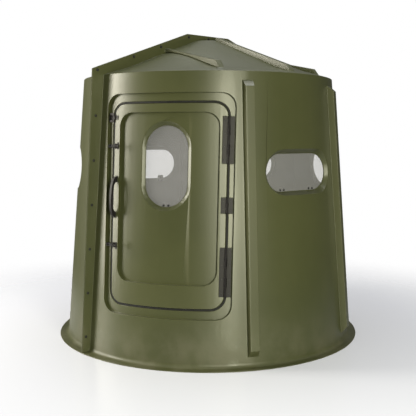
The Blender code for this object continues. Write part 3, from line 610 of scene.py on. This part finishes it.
def doorHingeScrews(pattern):
    place, up = jointLine("door_swing")
    for side, leaf, body in ((1, "shell", "shell"), (-1, "door", "door")):
        places = []
        for label in ("top", "middle", "bottom"):
            low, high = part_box(f"door_hinge_{label}_{leaf}_leaf")
            length = (high.z - low.z) / up.z
            middle = place + up * (((low.z + high.z) / 2 - place.z) / up.z)
            count = hingeScrews["long"] if length > 0.15 else hingeScrews["short"]
            for index in range(count):
                z = (length / 2 - hingeScrews["end"]) * (2 * index / (count - 1) - 1)
                x = side * hingeScrews["inset"]
                places.append(facing(frameAt(middle, up), x, hingeScrews["face"], z))
        heads = copiesOf(pattern, leaf + "LeafScrews", places)
        finishPiece(heads, leaf + "LeafScrews", body, zincLook, "hardware")


paneBolts = {
    "x": 0.0150, "spread": 0.125, "upper": 0.0185, "lower": -0.0090,
    "paneFace": -0.00555, "seatFace": -0.01085,
    "radius": 0.0062, "height": 0.0032, "sides": 14, "socket": 0.0022,
}


def paneHingeBolts(pattern):
    b = paneBolts
    for window in windows:
        place = paneFrame(window)
        hinges = (0.0,) if window == "door_window" else (-b["spread"], b["spread"])
        spots = [hinge + side * b["x"] for hinge in hinges for side in (-1, 1)]
        upper = [facing(place, x, b["paneFace"], b["upper"]) for x in spots]
        lower = [facing(place, x, b["seatFace"], b["lower"]) for x in spots]
        heads = copiesOf(pattern, window + "PaneBolts", upper)
        finishPiece(heads, window + "PaneBolts", window, zincLook, "bolt")
        heads = copiesOf(pattern, window + "SeatBolts", lower)
        body = "door" if window == "door_window" else "shell"
        finishPiece(heads, window + "SeatBolts", body, zincLook, "bolt")


small = domedHead(screw["radius"], screw["height"], screw["sides"], screw["socket"])
doorHingeScrews(small)
wide = domedHead(paneBolts["radius"], paneBolts["height"], paneBolts["sides"], paneBolts["socket"])
paneHingeBolts(wide)
bpy.data.objects.remove(small)
bpy.data.objects.remove(wide)
print("screws and bolts placed")


# Floor, light and camera

studio = {
    "azimuth": 16.9, "distance": 4.8087, "height": 1.307, "pitch": 5.71, "lens": 60.45,
    "floor": 4.0, "near": 1.3, "far": 3.2, "solid": 0.75,
}


def makeFloor():
    # pale and glossy beside the blind, and fading out into the white behind it
    clearSelection()
    bpy.ops.mesh.primitive_plane_add(size=2 * studio["floor"], location=(0, 0, cadBox[0][2]))
    floor = bpy.context.active_object
    floor.name = "studioFloor"
    look = Look("paleFloor", Base_Color=(0.86, 0.88, 0.98, 1), Roughness=0.26, IOR=2.0)
    reach = look.add("ShaderNodeVectorMath", {"operation": "LENGTH"}, {0: look.place}, "Value")
    look.feed("Alpha", studio["solid"] * (1 - reach.ramp(studio["near"], studio["far"])))
    floor.data.materials.append(look.material)


def softBox(name, azimuth, height, distance, size, power, colour, aim):
    light = bpy.data.lights.new(name, "AREA")
    light.shape = "RECTANGLE"
    light.size, light.size_y = size
    light.energy = power
    light.color = colour
    made = bpy.data.objects.new(name, light)
    scene.collection.objects.link(made)
    turn = radians(azimuth)
    made.location = (distance * sin(turn), -distance * cos(turn), height)
    made.rotation_euler = (Vector((0, 0, aim)) - made.location).to_track_quat("-Z", "Y").to_euler()


def makeWorld():
    world = bpy.data.worlds.new("studioWorld")
    scene.world = world
    world.use_nodes = True
    tree = world.node_tree
    background = tree.nodes["Background"]
    seen = addNode(tree, "ShaderNodeLightPath", output="Is Camera Ray")
    way = addNode(tree, "ShaderNodeTexCoord", output="Generated")
    up = addNode(tree, "ShaderNodeSeparateXYZ", None, {"Vector": way}, "Z")
    glow = 0.09 + up.ramp(0.2, 0.95) * 0.32
    level = seen + (1 - seen) * glow
    background.inputs["Color"].default_value = (1, 1, 1, 1)
    tree.links.new(level.socket, background.inputs["Strength"])


def makeCamera():
    camera = bpy.data.objects.new("camera", bpy.data.cameras.new("camera"))
    scene.collection.objects.link(camera)
    turn = radians(studio["azimuth"])
    camera.location = (studio["distance"] * sin(turn), -studio["distance"] * cos(turn), studio["height"])
    camera.rotation_euler = (radians(90 - studio["pitch"]), 0, turn)
    camera.data.lens = studio["lens"]
    scene.camera = camera


makeFloor()
makeWorld()
makeCamera()
softBox("keyLeft", -68, 1.9, 4.4, (1.4, 3.4), 270, (1.0, 0.95, 0.82), 0.9)
softBox("frontStrip", 33, 1.6, 5.6, (0.9, 3.2), 245, (1.0, 0.98, 0.76), 1.0)
softBox("overhead", 180, 5.5, 0.6, (3.0, 3.0), 120, (1.0, 1.0, 1.0), 0.0)
scene.view_settings.view_transform = "Standard"
print("studio ready")
